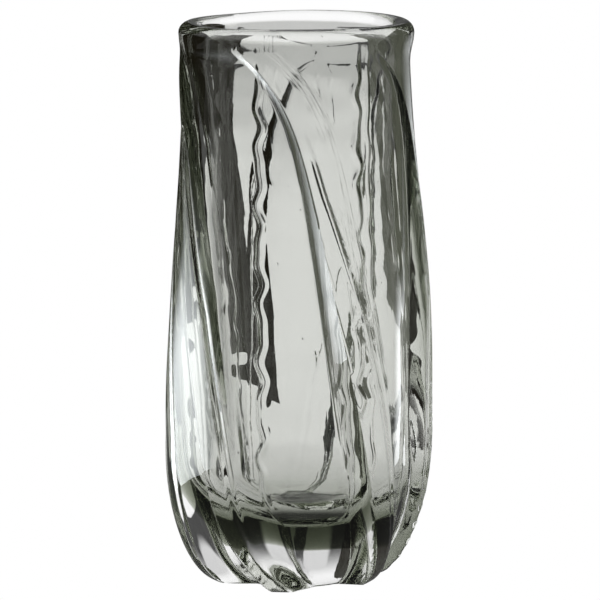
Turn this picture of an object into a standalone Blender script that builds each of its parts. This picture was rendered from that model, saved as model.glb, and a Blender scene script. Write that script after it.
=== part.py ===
"""Cased glass cylinder vase: a smoked glass cup held inside a heavy clear casing with six twisted ribs.

The vase stands on the plane z = 0 with its axis on +Z and its front towards -Y.
Lengths are in metres and azimuths in degrees, counted from the front towards +X.
"""

import math
from dataclasses import dataclass

import bmesh
import bpy

# Overall form
VASE_HEIGHT = 0.300
COLUMNS = 72                  # facets around every round surface
FIT_GAP = 0.0003              # clearance between one glass mass and the next

# Smoked cup
CAVITY_RADIUS = 0.0495
CUP_WALL = 0.0060
CUP_UNDERSIDE = 0.0190        # thickness of the clear base below the cup
CUP_FLOOR = 0.0160            # thickness of the cup's own bottom
CUP_OUTER_ROUND = 0.0220      # rounding under the cup
CUP_INNER_ROUND = 0.0180      # rounding inside the cup's floor

# Clear casing, measured between the ribs
BELLY_GLASS = 0.0042          # clear glass outside the cup at the widest place
CORNER_GLASS = 0.0015         # least clear glass outside the cup's rounded underside
FOOT_HEIGHT = 0.0620          # where the rounded foot meets the upright wall
NECK_GLASS = 0.0050           # clear glass outside the cup where the wall meets the lip's flare
NECK_DROP = 0.025             # distance of the neck below the mouth
FOOT_INSET = 0.0265           # how far the edge of the flat ground base lies inside the belly
LIP_WIDTH = 0.0145            # fire-polished lip, from the cavity to its outside
LIP_ROUND = 0.0040            # rounding of the lip's outer and inner edges
LIP_COVER = 0.0070            # clear glass that rolls over the cup's top edge
GROUND_DEPTH = 0.0020         # glass ground off the rounded foot to make it flat

# Ribs
RIB_CREST = 0.0123            # how far a rib stands out at its fullest
CREST_HEIGHT = 0.078          # height at which it is fullest
RIB_TOE = 0.0110              # how far its toe stands out at the base
RIB_TIP = 0.0012              # its thickness along the edges and at the top end
RIB_TOP_DROP = 0.0220         # distance of its top end below the mouth
RIB_HALF_COLUMNS = 2          # facets on each side of its crest
TWIST_RATE = 200.0            # degrees of turn per metre of height
TOP_CURL = 16.0               # extra turn, in degrees, where a rib meets the lip
CURL_LENGTH = 0.030
TOE_CURL_HEIGHT = 0.055       # below this height a rib can turn further, into its toe
RIB_TURNS = {                 # azimuth of the top end, and extra turn at the toe
    "rib_front": (-20.0, 0.0),
    "rib_right": (50.0, 0.0),
    "rib_back_right": (110.0, 0.0),
    "rib_back_left": (170.0, 0.0),
    "rib_left": (-135.0, 0.0),
    "rib_front_left": (-95.0, 10.0),
}

FOOT_STEPS = 8                # levels from the base to the top of the foot
WALL_STEPS = 13               # levels from there to the ribs' top ends
ROUND_STEPS = 6               # segments of a rounded corner

CUP_RADIUS = CAVITY_RADIUS + CUP_WALL
SEAT_RADIUS = CUP_RADIUS + FIT_GAP
BELLY_RADIUS = SEAT_RADIUS + BELLY_GLASS
NECK_RADIUS = SEAT_RADIUS + NECK_GLASS
FOOT_RADIUS = BELLY_RADIUS - FOOT_INSET
LIP_RADIUS = CAVITY_RADIUS + LIP_WIDTH
RIB_TOP = VASE_HEIGHT - RIB_TOP_DROP
NECK_HEIGHT = VASE_HEIGHT - NECK_DROP
COLUMN_ANGLE = 360.0 / COLUMNS


@dataclass(frozen=True)
class Glass:
    """Colour and surface of one kind of glass."""

    name: str
    colour: tuple[float, float, float]
    roughness: float
    metallic: float = 0.0


CLEAR_GLASS = Glass("clear_glass", (0.90, 0.93, 0.93), 0.03)
SMOKED_GLASS = Glass("smoked_glass", (0.20, 0.22, 0.19), 0.04)


def clear_scene():
    """Remove every object of the open scene."""
    for item in list(bpy.data.objects):
        bpy.data.objects.remove(item, do_unlink=True)


def make_material(glass):
    """Return a Principled material of the given glass, made once."""
    material = bpy.data.materials.get(glass.name)
    if material is None:
        material = bpy.data.materials.new(glass.name)
        material.use_nodes = True
        shader = material.node_tree.nodes["Principled BSDF"]
        shader.inputs["Base Color"].default_value = (*glass.colour, 1.0)
        shader.inputs["Roughness"].default_value = glass.roughness
        shader.inputs["Metallic"].default_value = glass.metallic
    return material


def add_object(name, bm, glass):
    """Turn a bmesh into a smooth-shaded object with its material."""
    mesh = bpy.data.meshes.new(name)
    bm.normal_update()
    bm.to_mesh(mesh)
    bm.free()
    mesh.materials.append(make_material(glass))
    mesh.shade_smooth()
    mesh.set_sharp_from_angle(angle=math.radians(40.0))
    item = bpy.data.objects.new(name, mesh)
    bpy.context.collection.objects.link(item)
    return item


def polar(radius, azimuth, height):
    """Point at an azimuth in degrees, 0 at the front (-Y) and 90 at +X."""
    angle = math.radians(azimuth)
    return (radius * math.sin(angle), -radius * math.cos(angle), height)


def ease(start, end, share):
    """Blend from start to end along half a cosine wave, with share held to 0..1."""
    share = min(max(share, 0.0), 1.0)
    return start + (end - start) * 0.5 * (1.0 - math.cos(math.pi * share))


def rib_turn(height):
    """Degrees that a rib has turned, at a height, from its azimuth at the top end."""
    drop = max(RIB_TOP - height, 0.0)
    return TWIST_RATE * drop + TOP_CURL * (1.0 - math.exp(-drop / CURL_LENGTH))


def foot_angle(top_height, height):
    """Angle on the quarter ellipse of a foot that ends at the top height."""
    rise = (height + GROUND_DEPTH) / (top_height + GROUND_DEPTH)
    return math.acos(1.0 - rise)


def foot_curve(base_radius, top_radius, top_height, height):
    """Radius on an elliptical foot that passes through both given radii."""
    base_share = math.sin(foot_angle(top_height, 0.0))
    start = (base_radius - top_radius * base_share) / (1.0 - base_share)
    return start + (top_radius - start) * math.sin(foot_angle(top_height, height))


def casing_radius(height):
    """Outer radius of the clear casing between the ribs."""
    if height <= FOOT_HEIGHT:
        return foot_curve(FOOT_RADIUS, BELLY_RADIUS, FOOT_HEIGHT, height)
    if height <= NECK_HEIGHT:
        share = (height - FOOT_HEIGHT) / (NECK_HEIGHT - FOOT_HEIGHT)
        return ease(BELLY_RADIUS, NECK_RADIUS, share)
    share = (height - NECK_HEIGHT) / (NECK_DROP - LIP_ROUND)
    return ease(NECK_RADIUS, LIP_RADIUS, share)


def rib_height(height):
    """How far a rib's crest stands out from the casing at a height."""
    if height <= CREST_HEIGHT:
        toe_radius = FOOT_RADIUS + RIB_TOE
        crest = foot_curve(toe_radius, BELLY_RADIUS + RIB_CREST, CREST_HEIGHT, height)
        return crest - casing_radius(height)
    share = (height - CREST_HEIGHT) / (RIB_TOP - CREST_HEIGHT)
    return ease(RIB_CREST, RIB_TIP, share)


def wall_levels():
    """Heights of the rings that the casing and its ribs share, from the base up."""
    first = foot_angle(FOOT_HEIGHT, 0.0)
    levels = []
    for step in range(FOOT_STEPS):
        angle = first + (math.pi / 2 - first) * step / FOOT_STEPS
        rise = (FOOT_HEIGHT + GROUND_DEPTH) * (1.0 - math.cos(angle))
        levels.append(max(rise - GROUND_DEPTH, 0.0))
    for step in range(WALL_STEPS + 1):
        levels.append(FOOT_HEIGHT + (RIB_TOP - FOOT_HEIGHT) * step / WALL_STEPS)
    return levels


def corner(centre_radius, centre_height, size, first, last):
    """Points (radius, height) of an arc between two angles, 0 outward and 90 up."""
    points = []
    for step in range(ROUND_STEPS + 1):
        angle = math.radians(first + (last - first) * step / ROUND_STEPS)
        point = (centre_radius + size * math.cos(angle), centre_height + size * math.sin(angle))
        points.append(point)
    return points


def add_ring(bm, points):
    """Add one loop of vertices."""
    return [bm.verts.new(point) for point in points]


def join_rings(bm, lower, upper):
    """Fill the band between two loops of equal length with quads."""
    count = len(lower)
    for index in range(count):
        following = (index + 1) % count
        bm.faces.new((lower[index], lower[following], upper[following], upper[index]))


def loft(rings):
    """Closed body through a run of loops, capped at both ends with flat faces."""
    bm = bmesh.new()
    loops = [add_ring(bm, points) for points in rings]
    for lower, upper in zip(loops, loops[1:]):
        join_rings(bm, lower, upper)
    bm.faces.new(list(reversed(loops[0])))
    bm.faces.new(loops[-1])
    bmesh.ops.recalc_face_normals(bm, faces=bm.faces)
    return bm


def circle_ring(radius, height, turn=0.0):
    """Loop of points on the shared columns, turned by some degrees."""
    return [polar(radius, turn + COLUMN_ANGLE * column, height) for column in range(COLUMNS)]


def rounded_underside(radius, height, clearance):
    """Round from an upright wall to a flat underside, kept inside the casing's own foot."""
    arc = corner(radius - CUP_OUTER_ROUND, height + CUP_OUTER_ROUND, CUP_OUTER_ROUND, 0.0, -90.0)
    return [(min(r, casing_radius(z) - CORNER_GLASS - clearance), z) for r, z in arc]


def casing_profile_inside():
    """Casing profile from the lip's outer edge over the mouth and down to the cup's seat."""
    lip_height = VASE_HEIGHT - LIP_ROUND
    flare_height = (RIB_TOP + lip_height) / 2
    profile = [(casing_radius(flare_height), flare_height)]
    profile += corner(LIP_RADIUS - LIP_ROUND, lip_height, LIP_ROUND, 0.0, 90.0)
    profile += corner(CAVITY_RADIUS + LIP_ROUND, lip_height, LIP_ROUND, 90.0, 180.0)
    profile.append((CAVITY_RADIUS, VASE_HEIGHT - LIP_COVER))
    profile.append((SEAT_RADIUS, VASE_HEIGHT - LIP_COVER))
    profile += rounded_underside(SEAT_RADIUS, CUP_UNDERSIDE - FIT_GAP, 0.0)
    return profile


def build_casing():
    """Clear glass wall and thick base, with a lip that covers the cup's top edge."""
    rings = [circle_ring(casing_radius(z), z, rib_turn(z)) for z in wall_levels()]
    rings += [circle_ring(radius, z) for radius, z in casing_profile_inside()]
    return add_object("clear_casing", loft(rings), CLEAR_GLASS)


def cup_profile():
    """Cup profile from the middle of its floor up, over the rim and down to its underside."""
    floor_height = CUP_UNDERSIDE + CUP_FLOOR
    top = VASE_HEIGHT - LIP_COVER - FIT_GAP
    profile = [(0.0, floor_height)]
    profile += corner(
        CAVITY_RADIUS - CUP_INNER_ROUND, floor_height + CUP_INNER_ROUND, CUP_INNER_ROUND, -90.0, 0.0
    )
    profile += [(CAVITY_RADIUS, top), (CUP_RADIUS, top)]
    profile += rounded_underside(CUP_RADIUS, CUP_UNDERSIDE, FIT_GAP)
    profile.append((0.0, CUP_UNDERSIDE))
    return profile


def build_cup():
    """Smoked glass cup, turned from its profile."""
    bm = bmesh.new()
    previous = None
    for radius, height in cup_profile():
        vertex = bm.verts.new((radius, 0.0, height))
        if previous is not None:
            bm.edges.new((previous, vertex))
        previous = vertex
    cup = add_object("smoked_cup", bm, SMOKED_GLASS)
    turned = cup.modifiers.new("turned", "SCREW")
    turned.axis = "Z"
    turned.steps = COLUMNS
    turned.render_steps = COLUMNS
    turned.use_merge_vertices = True
    turned.merge_threshold = 0.00001
    return cup


def rib_ring(top_azimuth, toe_turn, height):
    """Section of a rib at a height: its back follows the casing, its front bulges out."""
    back_radius = casing_radius(height) + FIT_GAP
    crest = rib_height(height) - FIT_GAP
    toe_share = max(1.0 - height / TOE_CURL_HEIGHT, 0.0)
    azimuth = top_azimuth + rib_turn(height) + toe_turn * toe_share**2
    columns = range(-RIB_HALF_COLUMNS, RIB_HALF_COLUMNS + 1)
    back = [polar(back_radius, azimuth + COLUMN_ANGLE * column, height) for column in columns]
    front = []
    for column in reversed(columns):
        bulge = math.cos(math.pi / 2 * column / RIB_HALF_COLUMNS)
        radius = back_radius + RIB_TIP + (crest - RIB_TIP) * bulge
        front.append(polar(radius, azimuth + COLUMN_ANGLE * column, height))
    return back + front


def build_rib(name, top_azimuth, toe_turn):
    """Clear glass rib that winds down the casing and ends in a flat toe at the base."""
    rings = [rib_ring(top_azimuth, toe_turn, height) for height in wall_levels()]
    return add_object(name, loft(rings), CLEAR_GLASS)


def main():
    """Model the vase."""
    clear_scene()
    build_cup()
    build_casing()
    for name, (top_azimuth, toe_turn) in RIB_TURNS.items():
        build_rib(name, top_azimuth, toe_turn)


if __name__ == "__main__":
    main()
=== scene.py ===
"""Cased glass vase with twisted ribs: its looks, its studio and its camera.

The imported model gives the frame: the height of the mouth and the place and width of the smoked cup
are read from its nodes. The glass masses of the real vase are fused while hot, so the clear casing
and its ribs are shown as one continuous body of glass, with the smoked layer inside its wall and a
few seed bubbles in the clear glass.

Lengths are in metres and azimuths in radians, counted from the front (-Y) towards +X.
"""

import logging
import math
from dataclasses import dataclass
from enum import Enum

import bmesh
import bpy
import numpy as np
from mathutils import Matrix, Vector


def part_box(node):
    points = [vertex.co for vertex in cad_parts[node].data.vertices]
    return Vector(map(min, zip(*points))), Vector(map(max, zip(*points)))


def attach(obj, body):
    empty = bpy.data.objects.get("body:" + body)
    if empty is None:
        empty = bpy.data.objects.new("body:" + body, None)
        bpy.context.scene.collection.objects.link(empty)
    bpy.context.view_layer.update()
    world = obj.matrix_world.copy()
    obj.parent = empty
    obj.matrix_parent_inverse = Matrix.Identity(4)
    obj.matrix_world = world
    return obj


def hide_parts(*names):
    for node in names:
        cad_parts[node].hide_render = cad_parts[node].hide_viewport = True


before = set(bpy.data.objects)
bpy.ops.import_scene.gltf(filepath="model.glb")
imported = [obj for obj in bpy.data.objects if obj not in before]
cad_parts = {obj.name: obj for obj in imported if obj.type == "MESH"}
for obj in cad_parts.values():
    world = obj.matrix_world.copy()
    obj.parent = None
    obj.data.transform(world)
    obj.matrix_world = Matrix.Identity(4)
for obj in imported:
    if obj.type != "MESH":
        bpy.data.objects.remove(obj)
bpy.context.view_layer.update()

LOG = logging.getLogger("vase")
ROOT_BODY = "root"
FULL_TURN = 2.0 * math.pi
SHARP_ANGLE = math.radians(50.0)  # edges that bend more than this stay sharp
CAVITY_FLOOR = 0.016  # floor of the cavity above the underside of the frame's cup
CAVITY_RADIUS = 0.0495
CREST_RADIUS = 0.0723  # ribs' crests where they stand out most
LIP_RADIUS = 0.0622
SMOKE_FLOOR = 0.0155  # top of the smoke's bottom above the underside of the frame's cup
SMOKE_LIFT = 0.0050  # underside of the smoke above that of the frame's cup
SMOKE_RADIUS = 0.0512  # inside of the smoke, clear of the creases in the cavity's wall

Knots = tuple[tuple[float, float], ...]  # pairs of a height and a size there


class Slot(str, Enum):
    """Material slots of the record."""

    CLEAR = "clear_glass"
    SMOKED = "smoked_glass"


class Node(str, Enum):
    """Solids of the frame."""

    CASING = "clear_casing"
    CUP = "smoked_cup"
    RIB_FRONT = "rib_front"
    RIB_RIGHT = "rib_right"
    RIB_BACK_RIGHT = "rib_back_right"
    RIB_BACK_LEFT = "rib_back_left"
    RIB_LEFT = "rib_left"
    RIB_FRONT_LEFT = "rib_front_left"


def ease(start: float, end: float, share: np.ndarray) -> np.ndarray:
    """Blend from start to end along half a cosine wave.

    Args:
        start: value where share is 0 or less.
        end: value where share is 1 or more.
        share: how far along the blend each point lies.

    Returns:
        The blended values.
    """
    held = np.clip(share, 0.0, 1.0)
    return start + (end - start) * 0.5 * (1.0 - np.cos(math.pi * held))


def wrap(angle: np.ndarray) -> np.ndarray:
    """Bring angles into the range from -pi to pi.

    Args:
        angle: angles in radians.

    Returns:
        The same directions within half a turn of zero.
    """
    return (angle + math.pi) % FULL_TURN - math.pi


def polar_points(radius: np.ndarray, azimuth: np.ndarray, height: np.ndarray) -> np.ndarray:
    """Place points by radius, azimuth and height.

    Args:
        radius: distances from the axis.
        azimuth: angles from the front towards +X.
        height: heights above the base.

    Returns:
        An array of points with x, y and z along its last axis.
    """
    return np.stack((radius * np.sin(azimuth), -radius * np.cos(azimuth), height), axis=-1)


@dataclass(frozen=True)
class Twist:
    """How far the glass has turned below the ribs' top ends."""

    top_height: float
    rate: float = math.radians(160.0)
    curl: float = math.radians(26.3)
    curl_length: float = 0.022

    def turn(self, height: np.ndarray) -> np.ndarray:
        """Turn, in radians, at each height.

        Args:
            height: heights above the base.

        Returns:
            The turn relative to the top ends, zero above them.
        """
        drop = np.maximum(self.top_height - height, 0.0)
        return self.rate * drop + self.curl * (1.0 - np.exp(-drop / self.curl_length))


@dataclass(frozen=True)
class Rib:
    """One rib of clear glass, from the lip down to its toe.

    The sizes crest and toe are shares of a full rib's. Below the height toe_reach the rib
    turns further, by toe_turn at the base.
    """

    node: Node
    top_azimuth: float
    toe_turn: float = 0.0
    crest: float = 1.0
    toe: float = 1.0
    toe_reach: float = 0.055


@dataclass
class WallForm:
    """Shape of the vase's outside: the casing between the ribs, the ribs and the lip."""

    height: float
    lip_radius: float
    crest_radius: float
    foot_radius: float = 0.0335
    belly_radius: float = 0.0600
    foot_height: float = 0.062
    neck_radius: float = 0.0602
    neck_drop: float = 0.022
    ground_depth: float = 0.0020
    toe_out: float = 0.0120
    crest_height: float = 0.078
    crest_fade: float = 0.006
    least_crest: float = 0.0003
    tip_radius: float = 0.0620
    rib_top_drop: float = 0.012
    toe_height: float = 0.055
    # Widths of a rib's steep side, of its crown and of its long far side.
    left_knots: Knots = ((0.0, 0.0085), (0.10, 0.0080), (0.21, 0.0062), (0.29, 0.0050))
    crown_knots: Knots = (
        (0.0, 0.008), (0.03, 0.012), (0.10, 0.0136), (0.15, 0.0132),
        (0.19, 0.0085), (0.216, 0.0055), (0.29, 0.0030),
    )
    right_knots: Knots = (
        (0.0, 0.012), (0.03, 0.015), (0.06, 0.024), (0.10, 0.034), (0.20, 0.042), (0.29, 0.034),
    )
    rise_power: float = 1.6
    fall_power: float = 1.2
    crown_slope: float = 0.10
    seam_depth: float = 0.0011
    seam_width: float = 0.0013
    seam_top_drop: float = 0.055
    seam_top_fade: float = 0.02
    seam_foot_fade: float = 0.03
    lip_rise: float = 0.0075
    wobble: float = 0.0003
    # Waves per turn, change with the height and phase of each wobble.
    wobble_waves: tuple[tuple[int, float, float], ...] = ((2, 31.0, 0.0), (3, -47.0, 1.0))
    ribs: tuple[Rib, ...] = (
        Rib(Node.RIB_FRONT, math.radians(-30.0), math.radians(8.0)),
        Rib(
            Node.RIB_RIGHT, math.radians(40.0), math.radians(-25.0),
            crest=1.15, toe=1.05, toe_reach=0.11,
        ),
        Rib(Node.RIB_BACK_RIGHT, math.radians(100.0), crest=0.92),
        Rib(Node.RIB_BACK_LEFT, math.radians(162.0), crest=0.70),
        Rib(Node.RIB_LEFT, math.radians(-145.0), crest=0.85, toe=1.25),
        Rib(Node.RIB_FRONT_LEFT, math.radians(-105.0), math.radians(15.0)),
    )

    def __post_init__(self) -> None:
        """Work out the heights that follow from the sizes."""
        self.twist = Twist(self.height - self.rib_top_drop)
        self.lip_height = self.height - self.lip_rise

    def foot_angle(self, top: float, height: np.ndarray) -> np.ndarray:
        """Angle on the quarter ellipse of a foot that ends at a top height."""
        rise = (height + self.ground_depth) / (top + self.ground_depth)
        return np.arccos(np.clip(1.0 - rise, -1.0, 1.0))

    def foot_curve(self, base: float, full: float, top: float, height: np.ndarray) -> np.ndarray:
        """Radius on an elliptical foot that passes through two radii.

        Args:
            base: radius at the ground face.
            full: radius at the top of the foot.
            top: height of the top of the foot.
            height: heights below the top.

        Returns:
            The radius at each height.
        """
        base_share = math.sin(float(self.foot_angle(top, np.array(0.0))))
        start = (base - full * base_share) / (1.0 - base_share)
        return start + (full - start) * np.sin(self.foot_angle(top, height))

    def casing(self, height: np.ndarray) -> np.ndarray:
        """Radius of the casing between the ribs.

        Args:
            height: heights above the base.

        Returns:
            The radius at each height.
        """
        neck_height = self.height - self.neck_drop
        low = np.minimum(height, self.foot_height)
        foot = self.foot_curve(self.foot_radius, self.belly_radius, self.foot_height, low)
        share = (height - self.foot_height) / (neck_height - self.foot_height)
        middle = ease(self.belly_radius, self.neck_radius, share)
        share = (height - neck_height) / (self.lip_height - neck_height)
        top = ease(self.neck_radius, self.lip_radius, share)
        wall = np.where(height <= neck_height, middle, top)
        return np.where(height <= self.foot_height, foot, wall)

    def crest(self, height: np.ndarray) -> np.ndarray:
        """How far a full rib stands out from the casing.

        Args:
            height: heights above the base.

        Returns:
            The distance at each height.
        """
        toe_radius = self.foot_radius + self.toe_out
        low = np.minimum(height, self.crest_height)
        foot = self.foot_curve(toe_radius, self.crest_radius, self.crest_height, low)
        share = (height - self.crest_height) / (self.height - self.rib_top_drop - self.crest_height)
        wall = ease(self.crest_radius, self.tip_radius, share)
        outline = np.where(height <= self.crest_height, foot, wall)
        fade = np.clip((self.lip_height - height) / self.crest_fade, 0.0, 1.0)
        return np.maximum(outline - self.casing(height), self.least_crest) * fade

    def rib_offset(self, rib: Rib, column: np.ndarray, height: np.ndarray) -> np.ndarray:
        """Distance along the casing from the line of a rib's crest.

        Args:
            rib: the rib.
            column: azimuths at the top ends of the columns.
            height: heights of the points.

        Returns:
            The distances, positive towards the rib's crown and far side.
        """
        toe_share = np.maximum(1.0 - height / rib.toe_reach, 0.0)
        turn = rib.toe_turn * toe_share**2
        return wrap(column - rib.top_azimuth - turn) * self.casing(height)

    def rib_bulge(self, rib: Rib, column: np.ndarray, height: np.ndarray) -> np.ndarray:
        """Share of a rib's crest that stands over each place of the wall.

        Args:
            rib: the rib.
            column: azimuths at the top ends of the columns.
            height: heights of the points.

        Returns:
            Values from 0 beside the rib to 1 on its crest.
        """
        offset = self.rib_offset(rib, column, height)
        left = self.at_height(self.left_knots, height)
        crown = self.at_height(self.crown_knots, height)
        right = self.at_height(self.right_knots, height)
        rise = np.clip(1.0 + offset / left, 0.0, 1.0) ** self.rise_power
        fall = (1.0 - np.clip((offset - crown) / right, 0.0, 1.0)) ** self.fall_power
        slope = 1.0 - self.crown_slope * np.clip(offset / crown, 0.0, 1.0)
        return np.where(offset < 0.0, rise, fall * slope)

    def seam(self, rib: Rib, column: np.ndarray, height: np.ndarray) -> np.ndarray:
        """Depth of the fine seam along the far edge of a rib's crown, in metres.

        Args:
            rib: the rib.
            column: azimuths at the top ends of the columns.
            height: heights of the points.

        Returns:
            The depth of the seam at each point.
        """
        offset = self.rib_offset(rib, column, height)
        place = (offset - self.at_height(self.crown_knots, height)) / self.seam_width
        top = np.clip((self.height - self.seam_top_drop - height) / self.seam_top_fade, 0.0, 1.0)
        fade = top * np.clip(height / self.seam_foot_fade, 0.0, 1.0)
        return self.seam_depth * np.exp(-(place**2)) * fade

    @staticmethod
    def at_height(knots: Knots, height: np.ndarray) -> np.ndarray:
        """Read a size that changes with the height.

        Args:
            knots: pairs of a height and the size there.
            height: heights to read it at.

        Returns:
            The sizes.
        """
        heights, sizes = zip(*knots)
        return np.interp(height, heights, sizes)

    def radius(self, column: np.ndarray, height: np.ndarray) -> np.ndarray:
        """Outer radius of the glass, ribs included.

        Args:
            column: azimuths at the top ends of the columns.
            height: heights of the points.

        Returns:
            The radius at each point.
        """
        crest = self.crest(height)
        bulge = 0.0 * column + 0.0 * height
        seams = 0.0 * column + 0.0 * height
        full = np.clip(height / self.crest_height, 0.0, 1.0)
        for rib in self.ribs:
            share = rib.toe + (rib.crest - rib.toe) * full
            bulge = np.maximum(bulge, share * self.rib_bulge(rib, column, height))
            seams = np.maximum(seams, self.seam(rib, column, height))
        radius = self.casing(height) + crest * bulge - seams
        wave = sum(
            np.sin(turns * column + climb * height + phase)
            for turns, climb, phase in self.wobble_waves
        )
        return radius + self.wobble * wave * np.clip(height / self.toe_height, 0.0, 1.0)


@dataclass(frozen=True)
class Crease:
    """One wavy upright crease pressed into the cavity's wall."""

    azimuth: float
    depth: float
    half_width: float
    sway: float
    wavelength: float
    phase: float


@dataclass(frozen=True)
class Ripple:
    """One gentle wave that the blowing left on the cavity's wall."""

    depth: float
    wavelength: float
    winding: float
    phase: float

    def at(self, column: np.ndarray, height: np.ndarray) -> np.ndarray:
        """Height of the wave.

        Args:
            column: what the wave winds with, such as the azimuths.
            height: heights of the points.

        Returns:
            How far the wave moves the wall out at each point.
        """
        phase = FULL_TURN * height / self.wavelength + self.winding * column + self.phase
        return self.depth * np.sin(phase)


@dataclass
class CavityForm:
    """Shape of the cavity: its rippled wall, its creases and its rounded floor."""

    radius: float
    floor_height: float
    mouth_height: float
    corner_fall: float = 0.026
    corner_reach: float = 0.040
    fade_length: float = 0.03
    sway_reach: float = math.radians(6.0)
    main_sway: float = 0.65
    second_sway: float = 0.35
    second_rate: float = 1.63
    second_phase: float = 1.0
    swell_mean: float = 0.7
    swell_range: float = 0.3
    swell_stretch: float = 2.3
    swell_phase: float = 2.0
    ring: Ripple = Ripple(0.00006, 0.026, 2.0, 0.7)
    ripples: tuple[Ripple, ...] = (
        Ripple(0.00004, 0.017, -3.0, 1.9),
        Ripple(0.00010, 0.071, 3.0, 0.4),
    )
    creases: tuple[Crease, ...] = (
        Crease(math.radians(-21.5), 0.00105, 0.0030, 0.0020, 0.027, 0.4),
        Crease(math.radians(34.5), 0.00105, 0.0030, 0.0018, 0.025, 1.1),
        Crease(math.radians(42.5), 0.00040, 0.0014, 0.0008, 0.027, 3.2),
        Crease(math.radians(104.0), 0.00070, 0.0024, 0.0018, 0.024, 0.2),
        Crease(math.radians(160.0), 0.00050, 0.0018, 0.0010, 0.026, 4.0),
        Crease(math.radians(169.0), 0.00050, 0.0018, 0.0010, 0.029, 2.0),
        Crease(math.radians(196.0), 0.00030, 0.0014, 0.0018, 0.025, 5.1),
        Crease(math.radians(255.0), 0.00070, 0.0024, 0.0018, 0.023, 2.7),
    )

    def crease_shift(self, crease: Crease, height: np.ndarray) -> np.ndarray:
        """Sideways sway of a crease.

        Args:
            crease: the crease.
            height: heights of the points.

        Returns:
            The sway, in radians, at each height.
        """
        phase = FULL_TURN * height / crease.wavelength + crease.phase
        second = np.sin(self.second_rate * phase + self.second_phase)
        wave = self.main_sway * np.sin(phase) + self.second_sway * second
        return crease.sway / self.radius * wave

    def fade(self, height: np.ndarray) -> np.ndarray:
        """Strength of the ripple: none at the mouth, full further down."""
        return np.clip((self.mouth_height - height) / self.fade_length, 0.0, 1.0)

    def azimuth(self, column: np.ndarray, height: np.ndarray) -> np.ndarray:
        """Azimuth of each column, moved so that it follows the nearest crease's sway.

        Args:
            column: azimuths of the columns at the mouth.
            height: heights of the points.

        Returns:
            The azimuth at each point.
        """
        azimuth = column + 0.0 * height
        for crease in self.creases:
            near = np.exp(-((wrap(column - crease.azimuth) / self.sway_reach) ** 2))
            azimuth = azimuth + self.crease_shift(crease, height) * near * self.fade(height)
        return azimuth

    def ripple(self, column: np.ndarray, height: np.ndarray) -> np.ndarray:
        """Waves and creases that the blowing left on the wall.

        Args:
            column: azimuths of the columns at the mouth.
            height: heights of the points.

        Returns:
            How far the wall stands outside its plain radius.
        """
        waves = self.ring.at(np.sin(column), height)
        for ripple in self.ripples:
            waves = waves + ripple.at(column, height)
        for crease in self.creases:
            place = np.abs(wrap(column - crease.azimuth)) * self.radius / crease.half_width
            bottom = (1.0 - np.minimum(place, 1.0) ** 2) ** 2
            climb = FULL_TURN * height / (self.swell_stretch * crease.wavelength)
            swell = np.sin(climb + self.swell_phase * crease.phase)
            waves = waves + crease.depth * bottom * (self.swell_mean + self.swell_range * swell)
        return waves * self.fade(height)


@dataclass(frozen=True)
class ColumnSpread:
    """Azimuths of the glass body's columns, closer together over ribs and creases."""

    samples: int = 720
    plain_step: float = math.radians(3.2)
    flank_step: float = math.radians(0.8)
    flank_lead: float = math.radians(4.0)
    flank_reach: float = math.radians(5.5)
    crown_step: float = math.radians(0.75)
    crown_lag: float = math.radians(8.0)
    crown_reach: float = math.radians(7.0)
    crease_step: float = math.radians(0.6)
    crease_reach: float = math.radians(3.0)

    @staticmethod
    def near(offset: np.ndarray, reach: float) -> np.ndarray:
        """Weight of 1 near an offset of zero, steeply less at the reach."""
        return np.exp(-((wrap(offset) / reach) ** 4))

    def columns(self, form: WallForm, cavity: CavityForm) -> np.ndarray:
        """Choose the columns.

        Args:
            form: the outside of the wall.
            cavity: the inside of the wall.

        Returns:
            Sorted azimuths over one turn.
        """
        azimuths = np.arange(self.samples) * FULL_TURN / self.samples
        density = np.ones(self.samples) / self.plain_step
        for rib in form.ribs:
            offset = azimuths - rib.top_azimuth
            flank = self.near(offset + self.flank_lead, self.flank_reach)
            crown = self.near(offset - self.crown_lag, self.crown_reach)
            density += flank / self.flank_step + crown / self.crown_step
        for crease in cavity.creases:
            density += self.near(azimuths - crease.azimuth, self.crease_reach) / self.crease_step
        total = np.concatenate(([0.0], np.cumsum(density) * FULL_TURN / self.samples))
        count = int(total[-1])
        places = np.arange(count) * total[-1] / count
        return np.interp(places, total, np.append(azimuths, FULL_TURN))


def grid_faces(rows: int, columns: int) -> list[tuple[int, int, int, int]]:
    """Quads of a grid of rows that close on themselves sideways.

    Args:
        rows: number of rows of vertices.
        columns: number of vertices in each row.

    Returns:
        Faces that look outward where rows go up and columns go towards +X at the front.
    """
    faces = []
    for row in range(rows - 1):
        start = row * columns
        for column in range(columns):
            after = (column + 1) % columns
            faces.append(
                (start + column, start + after, start + columns + after, start + columns + column)
            )
    return faces


def closed_mesh(name: str, points: np.ndarray, first: Vector, last: Vector) -> bpy.types.Object:
    """Make one smooth closed object from a grid of points and its two end points.

    Args:
        name: name of the object.
        points: rows, columns and coordinates of the grid.
        first: point that closes the first row.
        last: point that closes the last row.

    Returns:
        The new object, linked to the scene.
    """
    rows, columns = points.shape[:2]
    count = rows * columns
    vertices = [tuple(point) for point in points.reshape(count, 3)]
    vertices += [tuple(first), tuple(last)]
    faces: list[tuple[int, ...]] = list(grid_faces(rows, columns))
    top = count - columns
    for column in range(columns):
        after = (column + 1) % columns
        faces.append((after, column, count))
        faces.append((top + column, top + after, count + 1))
    mesh = bpy.data.meshes.new(name)
    mesh.from_pydata(vertices, [], faces)
    mesh.validate()
    mesh.shade_smooth()
    mesh.set_sharp_from_angle(angle=SHARP_ANGLE)
    piece = bpy.data.objects.new(name, mesh)
    bpy.context.scene.collection.objects.link(piece)
    return piece


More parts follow.
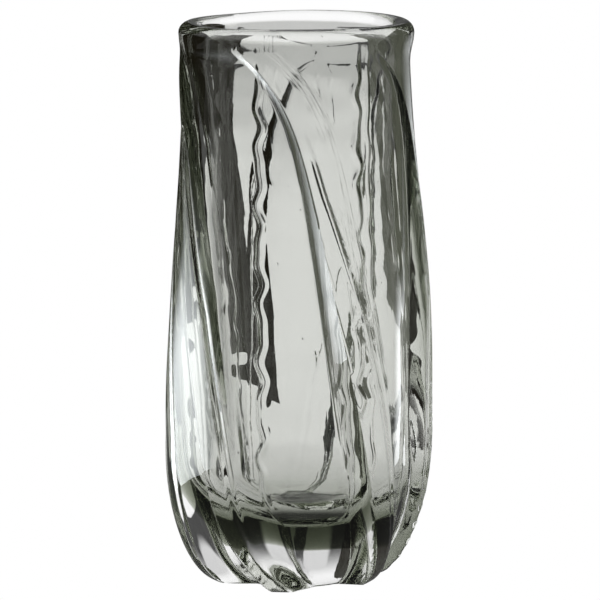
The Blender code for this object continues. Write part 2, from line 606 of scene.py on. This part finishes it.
class NodeBuilder:
    """Short calls that add and join nodes of one tree."""

    def __init__(self, tree: bpy.types.NodeTree) -> None:
        """Start on an emptied node tree."""
        self.tree = tree
        self.tree.nodes.clear()

    def add(self, kind: str, settings: dict | None = None, **inputs: object) -> bpy.types.Node:
        """Add a node.

        Args:
            kind: the node's type name without its ShaderNode prefix.
            settings: properties of the node.
            inputs: values or sockets for its inputs, with _ for a space in a name, or i0, i1, ...

        Returns:
            The new node.
        """
        node = self.tree.nodes.new("ShaderNode" + kind)
        for key, value in (settings or {}).items():
            setattr(node, key, value)
        for key, value in inputs.items():
            number = key[1:] if key[0] == "i" and key[1:].isdigit() else None
            socket = node.inputs[int(number)] if number else node.inputs[key.replace("_", " ")]
            if isinstance(value, bpy.types.NodeSocket):
                self.tree.links.new(value, socket)
            else:
                socket.default_value = value
        return node

    def math(
        self, operation: str, first: object, second: object = 0.0, third: object = 0.0
    ) -> bpy.types.NodeSocket:
        """Add a Math node and return its result."""
        node = self.add("Math", {"operation": operation}, i0=first, i1=second, i2=third)
        return node.outputs[0]

    def smooth_step(
        self, value: bpy.types.NodeSocket, start: float, end: float,
        low: float = 0.0, high: float = 1.0,
    ) -> bpy.types.NodeSocket:
        """Blend smoothly between two levels.

        Args:
            value: what the blend follows.
            start: value where the blend begins.
            end: value where it is complete.
            low: level at the start.
            high: level at the end.

        Returns:
            The blended level.
        """
        node = self.add(
            "MapRange", {"interpolation_type": "SMOOTHSTEP"},
            Value=value, From_Min=start, From_Max=end, To_Min=low, To_Max=high,
        )
        return node.outputs[0]

    def link(self, start: bpy.types.NodeSocket, end: bpy.types.NodeSocket) -> None:
        """Join an output to an input."""
        self.tree.links.new(start, end)


@dataclass(frozen=True)
class DrawnSurface:
    """Fine relief that the twisting and fire polishing left on the glass."""

    twist: Twist
    streak_scale: float = 42.0
    streak_stretch: float = 4.0
    streak_share: float = 0.03
    line_scale: float = 74.0
    line_power: float = 3.0
    line_azimuth: float = math.radians(-14.0)
    line_reach: float = math.radians(5.5)
    line_core: float = 0.6
    line_start: float = 0.11
    line_full: float = 0.17
    dimple_scale: float = 34.0
    dimple_share: float = 0.35

    def group(self) -> bpy.types.NodeTree:
        """Node group of the relief.

        Returns:
            The group, with a Height output.
        """
        tree = bpy.data.node_groups.new("drawn_surface", "ShaderNodeTree")
        tree.interface.new_socket("Height", in_out="OUTPUT", socket_type="NodeSocketFloat")
        nodes = NodeBuilder(tree)
        place = nodes.add("TexCoord").outputs["Object"]
        parts = nodes.add("SeparateXYZ", Vector=place)
        column = self.column(nodes, parts)
        across = nodes.math("SINE", column)
        along = nodes.math("COSINE", column)
        rise = parts.outputs["Z"]
        streaks = self.stretched(nodes, across, along, rise, self.streak_scale)
        lines = self.stretched(nodes, across, along, rise, self.line_scale)
        ridges = nodes.math("POWER", lines, self.line_power)
        beside = nodes.math(
            "ADD",
            nodes.math("MULTIPLY", across, math.sin(self.line_azimuth)),
            nodes.math("MULTIPLY", along, math.cos(self.line_azimuth)),
        )
        core = math.cos(self.line_reach * self.line_core)
        near = nodes.smooth_step(beside, math.cos(self.line_reach), core)
        high = nodes.smooth_step(rise, self.line_start, self.line_full)
        marks = nodes.math("MULTIPLY", ridges, nodes.math("MULTIPLY", near, high))
        dimples = nodes.add("TexNoise", Vector=place, Scale=self.dimple_scale, Detail=0.0)
        height = nodes.math("MULTIPLY_ADD", streaks, self.streak_share, marks)
        total = nodes.math("MULTIPLY_ADD", dimples.outputs[0], self.dimple_share, height)
        end = tree.nodes.new("NodeGroupOutput")
        nodes.link(total, end.inputs[0])
        return tree

    def column(self, nodes: NodeBuilder, parts: bpy.types.Node) -> bpy.types.NodeSocket:
        """Azimuth of a point with the twist above it taken away.

        Args:
            nodes: builder of the tree.
            parts: node that splits the point into X, Y and Z.

        Returns:
            The azimuth at the top end of the point's column.
        """
        forward = nodes.math("MULTIPLY", parts.outputs["Y"], -1.0)
        azimuth = nodes.math("ARCTAN2", parts.outputs["X"], forward)
        below = nodes.math("SUBTRACT", self.twist.top_height, parts.outputs["Z"])
        drop = nodes.math("MAXIMUM", below, 0.0)
        decay = nodes.math("EXPONENT", nodes.math("MULTIPLY", drop, -1.0 / self.twist.curl_length))
        curl = nodes.math("MULTIPLY", nodes.math("SUBTRACT", 1.0, decay), self.twist.curl)
        turn = nodes.math("ADD", nodes.math("MULTIPLY", drop, self.twist.rate), curl)
        return nodes.math("SUBTRACT", azimuth, turn)

    def stretched(
        self,
        nodes: NodeBuilder,
        across: bpy.types.NodeSocket,
        along: bpy.types.NodeSocket,
        height: bpy.types.NodeSocket,
        scale: float,
    ) -> bpy.types.NodeSocket:
        """Noise drawn out along the twist.

        Args:
            nodes: builder of the tree.
            across: sine of the column's azimuth.
            along: cosine of the column's azimuth.
            height: height of the point.
            scale: how many waves lie on a unit of azimuth.

        Returns:
            Values from 0 to 1.
        """
        place = nodes.add(
            "CombineXYZ",
            X=nodes.math("MULTIPLY", across, scale),
            Y=nodes.math("MULTIPLY", along, scale),
            Z=nodes.math("MULTIPLY", height, self.streak_stretch),
        )
        return nodes.add("TexNoise", Vector=place.outputs[0], Scale=1.0, Detail=1.0).outputs[0]


@dataclass(frozen=True)
class GlassFinish:
    """Optical values of one kind of glass."""

    name: str
    ior: float
    absorb_colour: tuple[float, float, float] = (1.0, 1.0, 1.0)
    absorb_density: float = 0.0
    relief: float = 0.0

    def material(self, surface: DrawnSurface | None = None) -> bpy.types.Material:
        """Make the material, with a clear refracting surface and a tinted inside.

        Args:
            surface: relief of the glass's outside, if it has any.

        Returns:
            The new material.
        """
        material = bpy.data.materials.new(self.name)
        material.use_nodes = True
        nodes = NodeBuilder(material.node_tree)
        shader = nodes.add(
            "BsdfPrincipled", Base_Color=(1.0, 1.0, 1.0, 1.0),
            Roughness=0.0, IOR=self.ior, Transmission_Weight=1.0,
        )
        output = nodes.add("OutputMaterial")
        nodes.link(shader.outputs[0], output.inputs["Surface"])
        if surface is not None:
            height = nodes.add("Group", {"node_tree": surface.group()})
            bump = nodes.add("Bump", Strength=1.0, Distance=self.relief, Height=height.outputs[0])
            nodes.link(bump.outputs[0], shader.inputs["Normal"])
        if self.absorb_density > 0.0:
            inside = nodes.add(
                "VolumeAbsorption",
                Color=(*self.absorb_colour, 1.0),
                Density=self.absorb_density,
            )
            nodes.link(inside.outputs[0], output.inputs["Volume"])
        return material


@dataclass(frozen=True)
class SeedBubbles:
    """Small bubbles left in the clear wall, a little taller than they are wide."""

    count: int = 26
    seed: int = 7
    smallest: float = 0.00022
    largest: float = 0.00050
    stretch: float = 1.4
    segments: int = 12
    rings: int = 8
    wall_radius: tuple[float, float] = (0.0565, 0.0585)
    heights: tuple[float, float] = (0.070, 0.262)

    def add_to(self, piece: bpy.types.Object) -> None:
        """Hollow the bubbles out of a glass body.

        Args:
            piece: the body's object.
        """
        chance = np.random.default_rng(self.seed)
        bm = bmesh.new()
        bm.from_mesh(piece.data)
        for _ in range(self.count):
            azimuth = chance.uniform(-math.pi, math.pi)
            radius = chance.uniform(*self.wall_radius)
            height = chance.uniform(*self.heights)
            size = chance.uniform(self.smallest, self.largest)
            centre = Vector((radius * math.sin(azimuth), -radius * math.cos(azimuth), height))
            stretched = Matrix.Diagonal((1.0, 1.0, self.stretch, 1.0))
            made = bmesh.ops.create_uvsphere(
                bm, u_segments=self.segments, v_segments=self.rings, radius=size,
                matrix=Matrix.Translation(centre) @ stretched,
            )
            faces = list(dict.fromkeys(face for end in made["verts"] for face in end.link_faces))
            for face in faces:
                face.smooth = True
            bmesh.ops.reverse_faces(bm, faces=faces)
        bm.to_mesh(piece.data)
        bm.free()


@dataclass
class ClearBody:
    """The clear casing with its ribs and lip, one continuous body of glass."""

    form: WallForm
    cavity: CavityForm
    finish: GlassFinish
    bubbles: SeedBubbles = SeedBubbles()
    spread: ColumnSpread = ColumnSpread()
    wall_rows: int = 112
    row_bias: float = 0.45
    lip_rows: int = 12
    cavity_rows: int = 108
    corner_rows: int = 10
    base_shares: tuple[float, ...] = (0.15, 0.35, 0.6, 0.8, 0.93)
    base_hollow: float = 0.0030
    floor_shares: tuple[float, ...] = (0.8, 0.55, 0.3, 0.12)
    floor_crown: float = 0.0004
    rim_room: float = 0.001
    # Height, waves per turn and phase of each wave of the rim.
    rim_waves: tuple[tuple[float, int, float], ...] = ((0.0005, 2, 0.6), (0.0003, 3, 2.0))
    rim_dip: float = 0.0022
    rim_dip_azimuth: float = math.radians(-140.0)
    rim_dip_reach: float = 0.7

    def wall_heights(self) -> np.ndarray:
        """Heights of the wall's rows, closer together at the foot."""
        share = np.linspace(0.0, 1.0, self.wall_rows)
        return self.form.lip_height * ((1.0 - self.row_bias) * share + self.row_bias * share**2)

    def wall_points(self, columns: np.ndarray) -> np.ndarray:
        """Outside of the wall, from the base to the lip.

        Args:
            columns: azimuths of the columns at the ribs' top ends.

        Returns:
            A grid of points.
        """
        height = self.wall_heights()[:, None]
        radius = self.form.radius(columns[None, :], height)
        azimuth = columns[None, :] + self.form.twist.turn(height)
        return polar_points(radius, azimuth, height + 0.0 * azimuth)

    def base_points(self, rim: np.ndarray) -> np.ndarray:
        """Hollowed face under the base, from near its centre out to the foot's edge.

        Args:
            rim: the foot's edge.

        Returns:
            A grid of points.
        """
        shares = np.array(self.base_shares)[:, None, None]
        points = rim[None, :, :] * shares
        points[:, :, 2] = self.base_hollow * (1.0 - shares[:, :, 0] ** 2)
        return points

    def lip_points(self, columns: np.ndarray) -> np.ndarray:
        """Round lip, from the outside over the mouth's edge to the cavity.

        Args:
            columns: azimuths of the columns.

        Returns:
            A grid of points.
        """
        outer = self.form.radius(columns, np.full_like(columns, self.form.lip_height))
        middle = 0.5 * (outer + self.cavity.radius)
        half = 0.5 * (outer - self.cavity.radius)
        angle = np.linspace(0.0, math.pi, self.lip_rows + 2)[1:-1, None]
        sway = sum(
            depth * np.sin(turns * columns + phase) for depth, turns, phase in self.rim_waves
        )
        from_dip = wrap(columns - self.rim_dip_azimuth) / self.rim_dip_reach
        sway = sway - self.rim_dip * np.exp(-(from_dip**2))
        rise = self.form.lip_rise - self.rim_room + sway[None, :]
        radius = middle[None, :] + half[None, :] * np.cos(angle)
        height = self.form.lip_height + rise * np.sin(angle)
        return polar_points(radius, columns[None, :] + 0.0 * radius, height)

    def cavity_points(self, columns: np.ndarray) -> np.ndarray:
        """Wall and floor of the cavity, from the mouth down to near the floor's centre.

        Args:
            columns: azimuths of the columns.

        Returns:
            A grid of points.
        """
        corner_top = self.cavity.floor_height + self.cavity.corner_fall
        height = np.linspace(self.form.lip_height, corner_top, self.cavity_rows)[:, None]
        radius = self.cavity.radius + self.cavity.ripple(columns[None, :], height)
        azimuth = self.cavity.azimuth(columns[None, :], height)
        wall = polar_points(radius, azimuth, height + 0.0 * radius)
        angle = np.linspace(0.0, math.pi / 2, self.corner_rows)[1:, None]
        inset = self.cavity.corner_reach * (1.0 - np.cos(angle))
        fall = self.cavity.corner_fall * np.sin(angle)
        corner = polar_points(
            radius[-1:] - inset, azimuth[-1:] + 0.0 * inset, corner_top - fall + 0.0 * radius[-1:]
        )
        shares = np.array(self.floor_shares)[:, None, None]
        floor = corner[-1:] * shares
        floor[:, :, 2] = self.cavity.floor_height + self.floor_crown * (1.0 - shares[:, :, 0])
        return np.concatenate((wall, corner, floor))

    def build(self) -> bpy.types.Object:
        """Build the mesh of the whole body.

        Returns:
            The object.
        """
        columns = self.spread.columns(self.form, self.cavity)
        wall = self.wall_points(columns)
        points = np.concatenate(
            (self.base_points(wall[0]), wall, self.lip_points(columns), self.cavity_points(columns))
        )
        first = Vector((0.0, 0.0, self.base_hollow))
        last = Vector((0.0, 0.0, self.cavity.floor_height + self.floor_crown))
        piece = closed_mesh("clear_glass_body", points, first, last)
        self.bubbles.add_to(piece)
        return piece

    def dress(self, piece: bpy.types.Object) -> None:
        """Give the piece its glass and its place in the frame.

        Args:
            piece: the body's object.
        """
        piece.data.materials.append(self.finish.material(DrawnSurface(self.form.twist)))
        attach(piece, ROOT_BODY)
        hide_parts(Node.CASING.value, *(rib.node.value for rib in self.form.ribs))


@dataclass
class SmokedLayer:
    """The smoked cup inside the clear glass."""

    outer_radius: float
    inner_radius: float
    top: float
    underside: float
    floor: float
    finish: GlassFinish
    outer_corner: float = 0.035
    inner_fall: float = 0.0260
    inner_reach: float = 0.0405
    columns: int = 120
    rows: int = 48
    corner_rows: int = 14

    def profile(self) -> list[tuple[float, float]]:
        """Outline of the layer, from under the cup round to the middle of its floor.

        Returns:
            Pairs of a radius and a height.
        """
        points = []
        low = self.underside + self.outer_corner
        for step in range(self.corner_rows + 1):
            angle = math.pi / 2 * (1.0 - step / self.corner_rows)
            radius = self.outer_radius - self.outer_corner * (1.0 - math.cos(angle))
            points.append((radius, low - self.outer_corner * math.sin(angle)))
        for step in range(1, self.rows + 1):
            points.append((self.outer_radius, low + (self.top - low) * step / self.rows))
        low = self.floor + self.inner_fall
        for step in range(self.rows + 1):
            points.append((self.inner_radius, self.top + (low - self.top) * step / self.rows))
        for step in range(1, self.corner_rows + 1):
            angle = math.pi / 2 * step / self.corner_rows
            radius = self.inner_radius - self.inner_reach * (1.0 - math.cos(angle))
            points.append((radius, low - self.inner_fall * math.sin(angle)))
        return points

    def build(self) -> bpy.types.Object:
        """Build the layer.

        Returns:
            The object.
        """
        profile = np.array(self.profile())
        azimuth = (np.arange(self.columns) * FULL_TURN / self.columns)[None, :]
        radius = profile[:, 0][:, None] + 0.0 * azimuth
        height = profile[:, 1][:, None] + 0.0 * azimuth
        points = polar_points(radius, azimuth + 0.0 * radius, height)
        first = Vector((0.0, 0.0, self.underside))
        last = Vector((0.0, 0.0, self.floor))
        return closed_mesh("smoked_layer", points, first, last)

    def dress(self, piece: bpy.types.Object) -> None:
        """Give the piece its tint and its place in the frame.

        Args:
            piece: the layer's object.
        """
        piece.data.materials.append(self.finish.material())
        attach(piece, ROOT_BODY)
        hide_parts(Node.CUP.value)


class PanelKind(Enum):
    """What a panel does to light."""

    CARD = "dark card that hides what is behind it"
    SOFTBOX = "lamp that only the glass's outer skin mirrors"


@dataclass(frozen=True)
class Panel:
    """An upright panel beside the vase, out of the camera's sight."""

    name: str
    kind: PanelKind
    start: tuple[float, float]
    end: tuple[float, float]
    strength: float
    tint: tuple[float, float, float]
    bottom: float = 0.0
    top: float = 0.7
    core: float = 0.10  # share of a side, from its middle, that a softbox lights in full

    def material(self) -> bpy.types.Material:
        """Make the panel's material.

        Returns:
            The new material.
        """
        material = bpy.data.materials.new(self.name)
        material.use_nodes = True
        nodes = NodeBuilder(material.node_tree)
        glow = nodes.add("Emission", Color=(*self.tint, 1.0), Strength=self.strength)
        output = nodes.add("OutputMaterial")
        if self.kind is PanelKind.CARD:
            nodes.link(glow.outputs[0], output.inputs["Surface"])
            return material
        place = nodes.add("SeparateXYZ", Vector=nodes.add("TexCoord").outputs["Generated"])
        sides = self.soft_edge(nodes, place.outputs[0])
        light = nodes.math("MULTIPLY", sides, self.soft_edge(nodes, place.outputs[2]))
        nodes.link(nodes.math("MULTIPLY", light, self.strength), glow.inputs["Strength"])
        mirrored = nodes.add("LightPath").outputs["Is Reflection Ray"]
        clear = nodes.add("BsdfTransparent")
        mixed = nodes.add("MixShader", i0=mirrored, i1=clear.outputs[0], i2=glow.outputs[0])
        nodes.link(mixed.outputs[0], output.inputs["Surface"])
        return material

    def soft_edge(self, nodes: NodeBuilder, share: bpy.types.NodeSocket) -> bpy.types.NodeSocket:
        """Brightness that fades towards both ends of a side of the panel.

        Args:
            nodes: builder of the tree.
            share: place along the side, from 0 to 1.

        Returns:
            The brightness, 1 in the middle.
        """
        off_centre = nodes.math("ABSOLUTE", nodes.math("SUBTRACT", share, 0.5))
        return nodes.smooth_step(off_centre, self.core, 0.5, 1.0, 0.0)

    def build(self) -> None:
        """Stand the panel up beside the vase."""
        mesh = bpy.data.meshes.new(self.name)
        corners = [(*self.start, self.bottom), (*self.end, self.bottom)]
        corners += [(*self.end, self.top), (*self.start, self.top)]
        mesh.from_pydata(corners, [], [(0, 1, 2, 3)])
        mesh.materials.append(self.material())
        panel = bpy.data.objects.new(self.name, mesh)
        bpy.context.scene.collection.objects.link(panel)
        panel.visible_camera = False


@dataclass
class Studio:
    """Paper sweep, surrounding light, dark cards, softboxes and camera."""

    sweep_half: float = 0.42
    sweep_blur: float = 0.05
    room_light: float = 0.10
    mirror_share: float = 0.2
    # Painted shadow under the vase: the floor's dimmed glow there, and the distances from the axis
    # over which it fades back to full.
    painted_shadow_light: float = 0.10
    painted_shadow_start: float = 0.020
    painted_shadow_end: float = 0.046
    front_light: float = 0.35
    turn_reach: float = 0.6
    far_light: float = 0.68
    far_start: float = 1.0
    far_end: float = 2.4
    backdrop: float = 2.5
    overhead_start: float = 0.10
    overhead_full: float = 0.45
    glass_bounces: int = 40
    mirror_bounces: int = 12
    panels: tuple[Panel, ...] = (
        Panel(
            "card_left", PanelKind.CARD, (-0.80, 0.41), (-0.085, 0.41), 1.0, (0.012, 0.010, 0.006),
        ),
        Panel(
            "card_right", PanelKind.CARD, (0.135, 0.41), (0.80, 0.41), 1.0, (0.110, 0.115, 0.092),
        ),
        Panel(
            "softbox_left", PanelKind.SOFTBOX, (-0.29, -0.20), (-0.25, 0.20), 10.0,
            (0.93, 0.98, 1.0), bottom=-0.10, top=0.215,
        ),
        Panel(
            "softbox_right", PanelKind.SOFTBOX, (0.12, 0.30), (0.27, 0.16), 2.5,
            (0.95, 0.98, 1.0), bottom=-0.10, top=0.30,
        ),
    )
    camera_distance: float = 1.93
    camera_height: float = 0.50
    aim: tuple[float, float] = (0.0016, 0.149)
    lens: float = 220.8
    sight: float = 50.0
    floor_size: float = 8.0
    floor_gap: float = 0.0005

    def sweep_group(self) -> bpy.types.NodeTree:
        """Node group that is white on the crossed paper sweeps and dim beside them.

        Returns:
            The group, with a Place input and a Brightness output.
        """
        tree = bpy.data.node_groups.new("paper_sweeps", "ShaderNodeTree")
        tree.interface.new_socket("Place", in_out="INPUT", socket_type="NodeSocketVector")
        tree.interface.new_socket("Brightness", in_out="OUTPUT", socket_type="NodeSocketFloat")
        nodes = NodeBuilder(tree)
        start = tree.nodes.new("NodeGroupInput")
        end = tree.nodes.new("NodeGroupOutput")
        parts = nodes.add("SeparateXYZ", Vector=start.outputs[0])
        across = nodes.math("ABSOLUTE", parts.outputs["X"])
        along = nodes.math("ABSOLUTE", parts.outputs["Y"])
        nearest = nodes.math("MINIMUM", across, along)
        inner, outer = self.sweep_half - self.sweep_blur, self.sweep_half + self.sweep_blur
        edge = nodes.smooth_step(nearest, inner, outer, 1.0, self.room_light)
        turned = nodes.smooth_step(
            parts.outputs["Y"], -self.turn_reach, self.turn_reach, self.front_light, 1.0
        )
        distant = nodes.smooth_step(along, self.far_start, self.far_end, 1.0, self.far_light)
        arms = nodes.math("MULTIPLY", turned, distant)
        nodes.link(nodes.math("MULTIPLY", edge, arms), end.inputs[0])
        return tree

    def dimmed(self, nodes: NodeBuilder, light: bpy.types.NodeSocket) -> bpy.types.NodeSocket:
        """Brightness as each kind of ray sees it: white to the camera, dim in reflections.

        Args:
            nodes: builder of the tree.
            light: brightness that rays through the glass see.

        Returns:
            The brightness for the ray at hand.
        """
        path = nodes.add("LightPath")
        mirrored = path.outputs["Is Reflection Ray"]
        dim = nodes.math("MULTIPLY_ADD", mirrored, self.mirror_share - 1.0, 1.0)
        light = nodes.math("MULTIPLY", light, dim)
        return nodes.math("MAXIMUM", light, path.outputs["Is Camera Ray"])

    def build_world(self, sweeps: bpy.types.NodeTree) -> None:
        """Surround the scene with soft light: the raised sweeps and a broad light overhead.

        Args:
            sweeps: node group of the paper sweeps.
        """
        world = bpy.data.worlds.new("studio")
        world.use_nodes = True
        bpy.context.scene.world = world
        nodes = NodeBuilder(world.node_tree)
        direction = nodes.add("TexCoord").outputs["Generated"]
        place = nodes.add("VectorMath", {"operation": "SCALE"}, i0=direction, Scale=self.backdrop)
        group = nodes.add("Group", {"node_tree": sweeps}, Place=place.outputs[0])
        upward = nodes.add("SeparateXYZ", Vector=direction).outputs["Z"]
        overhead = nodes.smooth_step(upward, self.overhead_start, self.overhead_full)
        light = nodes.math("MAXIMUM", self.dimmed(nodes, group.outputs[0]), overhead)
        shade = nodes.add("Background", Color=(1.0, 1.0, 1.0, 1.0), Strength=light)
        output = nodes.add("OutputWorld")
        nodes.link(shade.outputs[0], output.inputs["Surface"])

    def build_floor(self, sweeps: bpy.types.NodeTree) -> None:
        """Lay the pale floor, with a painted shadow close under the vase.

        Args:
            sweeps: node group of the paper sweeps.
        """
        half = self.floor_size
        mesh = bpy.data.meshes.new("floor")
        corners = [(-half, -half, 0.0), (half, -half, 0.0), (half, half, 0.0), (-half, half, 0.0)]
        mesh.from_pydata(corners, [], [(0, 1, 2, 3)])
        floor = bpy.data.objects.new("floor", mesh)
        bpy.context.scene.collection.objects.link(floor)
        floor.location.z = -self.floor_gap
        material = bpy.data.materials.new("pale_floor")
        material.use_nodes = True
        nodes = NodeBuilder(material.node_tree)
        place = nodes.add("NewGeometry").outputs["Position"]
        # The floor glows rather than being lit: its brightness, white on the sweeps and dimmer
        # beside them, towards the front and far off, is painted light.
        group = nodes.add("Group", {"node_tree": sweeps}, Place=place)
        distance = nodes.add("VectorMath", {"operation": "LENGTH"}, i0=place).outputs["Value"]
        # Painted shadow: the floor's glow is dimmed close under the vase.
        painted_shadow = nodes.smooth_step(
            distance, self.painted_shadow_start, self.painted_shadow_end, self.painted_shadow_light, 1.0
        )
        glow = self.dimmed(nodes, nodes.math("MULTIPLY", group.outputs[0], painted_shadow))
        shader = nodes.add("Emission", Color=(1.0, 1.0, 1.0, 1.0), Strength=glow)
        output = nodes.add("OutputMaterial")
        nodes.link(shader.outputs[0], output.inputs["Surface"])
        mesh.materials.append(material)

    def build_camera(self) -> None:
        """Set the camera a little above the mouth, looking slightly down at the vase."""
        data = bpy.data.cameras.new("camera")
        data.lens = self.lens
        data.clip_end = self.sight
        camera = bpy.data.objects.new("camera", data)
        bpy.context.scene.collection.objects.link(camera)
        camera.location = (0.0, -self.camera_distance, self.camera_height)
        aim = Vector((self.aim[0], 0.0, self.aim[1])) - camera.location
        camera.rotation_euler = aim.to_track_quat("-Z", "Y").to_euler()
        bpy.context.scene.camera = camera

    def build(self) -> None:
        """Build the studio."""
        scene = bpy.context.scene
        scene.view_settings.view_transform = "Standard"
        scene.cycles.max_bounces = self.glass_bounces
        scene.cycles.transmission_bounces = self.glass_bounces
        scene.cycles.glossy_bounces = self.mirror_bounces
        scene.cycles.transparent_max_bounces = self.glass_bounces
        sweeps = self.sweep_group()
        self.build_world(sweeps)
        self.build_floor(sweeps)
        for panel in self.panels:
            panel.build()
        self.build_camera()


def main() -> None:
    """Build the vase and its studio on the frame."""
    logging.basicConfig(level=logging.INFO, format="%(name)s: %(message)s")
    _, casing_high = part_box(Node.CASING.value)
    cup_low, cup_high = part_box(Node.CUP.value)
    form = WallForm(height=casing_high.z, lip_radius=LIP_RADIUS, crest_radius=CREST_RADIUS)
    cavity = CavityForm(
        radius=CAVITY_RADIUS,
        floor_height=cup_low.z + CAVITY_FLOOR,
        mouth_height=form.lip_height,
    )
    clear = GlassFinish("clear_glass", ior=1.5, relief=0.00020)
    smoked = GlassFinish("smoked_glass", 1.0, (0.43, 0.46, 0.37), absorb_density=64.0)
    body = ClearBody(form, cavity, clear)
    piece = body.build()
    body.dress(piece)
    LOG.info("%s: %d faces", piece.name, len(piece.data.polygons))
    layer = SmokedLayer(
        outer_radius=cup_high.x,
        inner_radius=SMOKE_RADIUS,
        top=cup_high.z,
        underside=cup_low.z + SMOKE_LIFT,
        floor=cup_low.z + SMOKE_FLOOR,
        finish=smoked,
    )
    piece = layer.build()
    layer.dress(piece)
    LOG.info("%s: %d faces", piece.name, len(piece.data.polygons))
    Studio().build()


if __name__ == "__main__":
    main()
